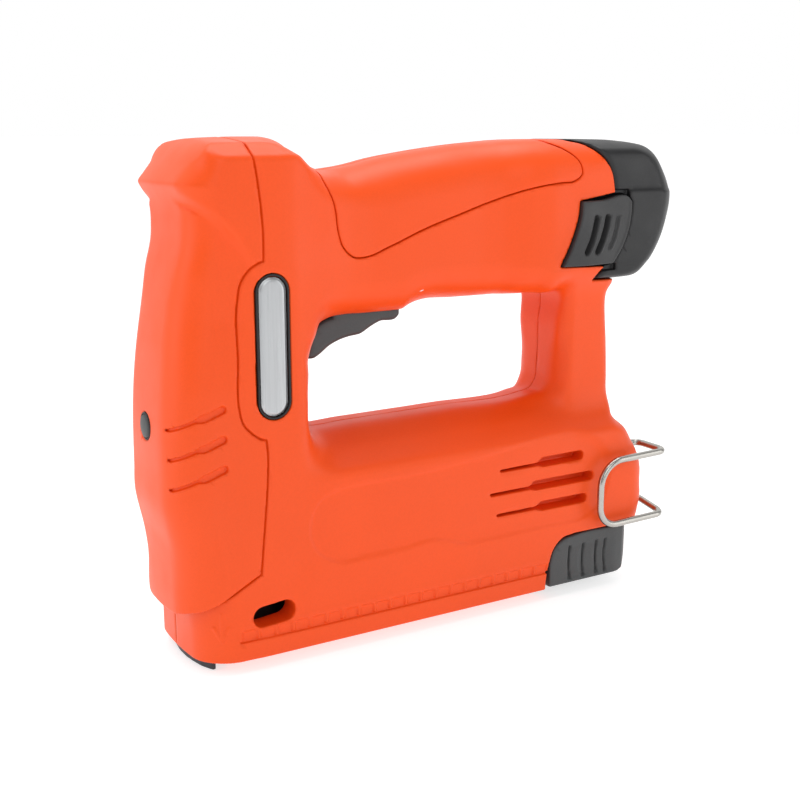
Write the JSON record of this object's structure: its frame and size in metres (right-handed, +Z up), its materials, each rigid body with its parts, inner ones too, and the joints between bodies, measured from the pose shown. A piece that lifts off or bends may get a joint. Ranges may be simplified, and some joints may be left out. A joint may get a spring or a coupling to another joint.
{
  "type": "cordless staple gun",
  "caption": "Battery staple gun: D-shaped moulded body with a finger lever, spring hammer driven by a geared motor, slide-out bottom magazine, wire belt hook and clip-on battery pack.",
  "frame": {"origin": "in the plane of the sole, on the mid-plane, where the driver blade leaves the nose", "axes": "+X from the nose to the battery, +Y to the tool's left, +Z up from the sole to the head"},
  "size_m": [0.2094, 0.0554, 0.1723],
  "materials": {
    "orange_plastic": "fine moulded grain, satin",
    "black_plastic": "satin",
    "dark_grey_plastic": "fine moulded grain",
    "badge_silver": "brushed, plain",
    "chrome_wire": "polished",
    "steel": "machined",
    "spring_steel": "drawn wire",
    "dark_steel": "black oxide",
    "bronze": "sintered",
    "rubber": "matte",
    "winding": "enamelled copper over laminations",
    "magnet": "sintered ferrite",
    "board_green": "solder mask",
    "cell_wrap": "shrink wrap",
    "contact_brass": "plated",
    "white_plastic": "natural nylon",
    "staple_steel": "galvanised wire"
  },
  "bodies": {
    "body": {"housing_right": "orange_plastic", "housing_left": "orange_plastic", "front_cover": "orange_plastic", "grip_insert_right": "orange_plastic", "grip_insert_left": "orange_plastic", "badge_frames": "black_plastic", "badge_plates": "badge_silver", "belt_hook": "chrome_wire", "housing_screws": "dark_steel", "button_bezel": "black_plastic", "button_switch": "black_plastic", "mechanism_frame": "steel", "nose_front_plate": "steel", "nose_rear_plate": "steel", "contact_springs": "spring_steel", "guide_rod": "steel", "main_spring": "spring_steel", "spring_seat": "dark_grey_plastic", "bumper": "rubber", "gear_shaft": "steel", "gear_bushes": "bronze", "gearbox_case": "dark_grey_plastic", "motor_can": "steel", "motor_magnets": "magnet", "motor_end_cap": "black_plastic", "circuit_board": "board_green", "board_parts": "black_plastic", "terminal_block": "black_plastic", "terminal_blades": "contact_brass", "switch_body": "black_plastic", "trigger_pin": "steel", "trigger_spring": "spring_steel", "magazine_channel": "dark_steel", "staple_strip": "staple_steel"},
    "front_button": {"front_button": "dark_grey_plastic"},
    "contact_nose": {"contact_nose": "dark_steel"},
    "hammer": {"hammer": "steel", "driver_blade": "steel"},
    "lift_gear": {"lift_gear": "steel"},
    "output_carrier": {"output_carrier": "steel", "output_planets": "bronze"},
    "first_carrier": {"first_carrier": "steel", "first_planets": "bronze"},
    "rotor": {"rotor": "winding", "motor_fan": "black_plastic"},
    "trigger": {"trigger": "dark_grey_plastic"},
    "switch_plunger": {"switch_plunger": "white_plastic"},
    "magazine": {"magazine_rail": "steel", "magazine_handle": "dark_grey_plastic", "pusher_spring": "spring_steel"},
    "pusher": {"pusher": "dark_steel"},
    "battery": {"battery_case": "black_plastic", "battery_cells": "cell_wrap", "battery_contacts": "contact_brass", "latch_spring_right": "spring_steel", "latch_spring_left": "spring_steel"},
    "latch_right": {"latch_right": "dark_grey_plastic"},
    "latch_left": {"latch_left": "dark_grey_plastic"}
  },
  "joints": [
    {"name": "battery_slide", "type": "slide", "parent": "body", "child": "battery", "axis": [1, 0, 0], "range_m": [0, 0.06]},
    {"name": "latch_right_press", "type": "slide", "parent": "battery", "child": "latch_right", "axis": [0, 1, 0], "range_m": [0, 0.0015], "stiffness_N_per_m": 2000, "springref_m": -0.002, "deforming": ["latch_spring_right"]},
    {"name": "latch_left_press", "type": "slide", "parent": "battery", "child": "latch_left", "axis": [0, -1, 0], "range_m": [0, 0.0015], "stiffness_N_per_m": 2000, "springref_m": -0.002, "deforming": ["latch_spring_left"]},
    {"name": "trigger_pull", "type": "hinge", "parent": "body", "child": "trigger", "pos_m": [0.081, 0, 0.1178], "axis": [0, 1, 0], "range_deg": [0, 6], "stiffness_Nm_per_rad": 1.5, "springref_deg": -5.73, "deforming": ["trigger_spring"]},
    {"name": "plunger_slide", "type": "slide", "parent": "body", "child": "switch_plunger", "axis": [0, 0, 1], "range_m": [0, 0.0028]},
    {"name": "button_press", "type": "slide", "parent": "body", "child": "front_button", "axis": [1, 0, 0], "range_m": [0, 0.0012], "stiffness_N_per_m": 1200, "springref_m": -0.001},
    {"name": "nose_press", "type": "slide", "parent": "body", "child": "contact_nose", "axis": [0, 0, 1], "range_m": [0, 0.004], "stiffness_N_per_m": 1500, "springref_m": -0.006, "deforming": ["contact_springs"]},
    {"name": "hammer_lift", "type": "slide", "parent": "body", "child": "hammer", "axis": [0, 0, 1], "range_m": [0, 0.0225], "stiffness_N_per_m": 1500, "springref_m": -0.02, "deforming": ["main_spring"]},
    {"name": "rotor_spin", "type": "hinge", "parent": "body", "child": "rotor", "pos_m": [0.12, 0, 0.042], "axis": [1, 0, 0], "continuous": true},
    {"name": "first_carrier_spin", "type": "hinge", "parent": "body", "child": "first_carrier", "pos_m": [0.082, 0, 0.042], "axis": [1, 0, 0], "continuous": true},
    {"name": "output_carrier_spin", "type": "hinge", "parent": "body", "child": "output_carrier", "pos_m": [0.069, 0, 0.042], "axis": [1, 0, 0], "continuous": true},
    {"name": "lift_gear_spin", "type": "hinge", "parent": "body", "child": "lift_gear", "pos_m": [0.04, 0, 0.042], "axis": [0, 1, 0], "continuous": true},
    {"name": "magazine_slide", "type": "slide", "parent": "body", "child": "magazine", "axis": [1, 0, 0], "range_m": [0, 0.115]},
    {"name": "pusher_slide", "type": "slide", "parent": "magazine", "child": "pusher", "axis": [1, 0, 0], "range_m": [0, 0.055], "stiffness_N_per_m": 50, "springref_m": -0.06, "deforming": ["pusher_spring"]}
  ],
  "couplings": [
    {"joint": "plunger_slide", "follows": "trigger_pull", "m_per_rad": 0.0255},
    {"joint": "first_carrier_spin", "follows": "rotor_spin", "ratio": 0.2},
    {"joint": "output_carrier_spin", "follows": "rotor_spin", "ratio": 0.04},
    {"joint": "lift_gear_spin", "follows": "rotor_spin", "ratio": 0.008889}
  ]
}
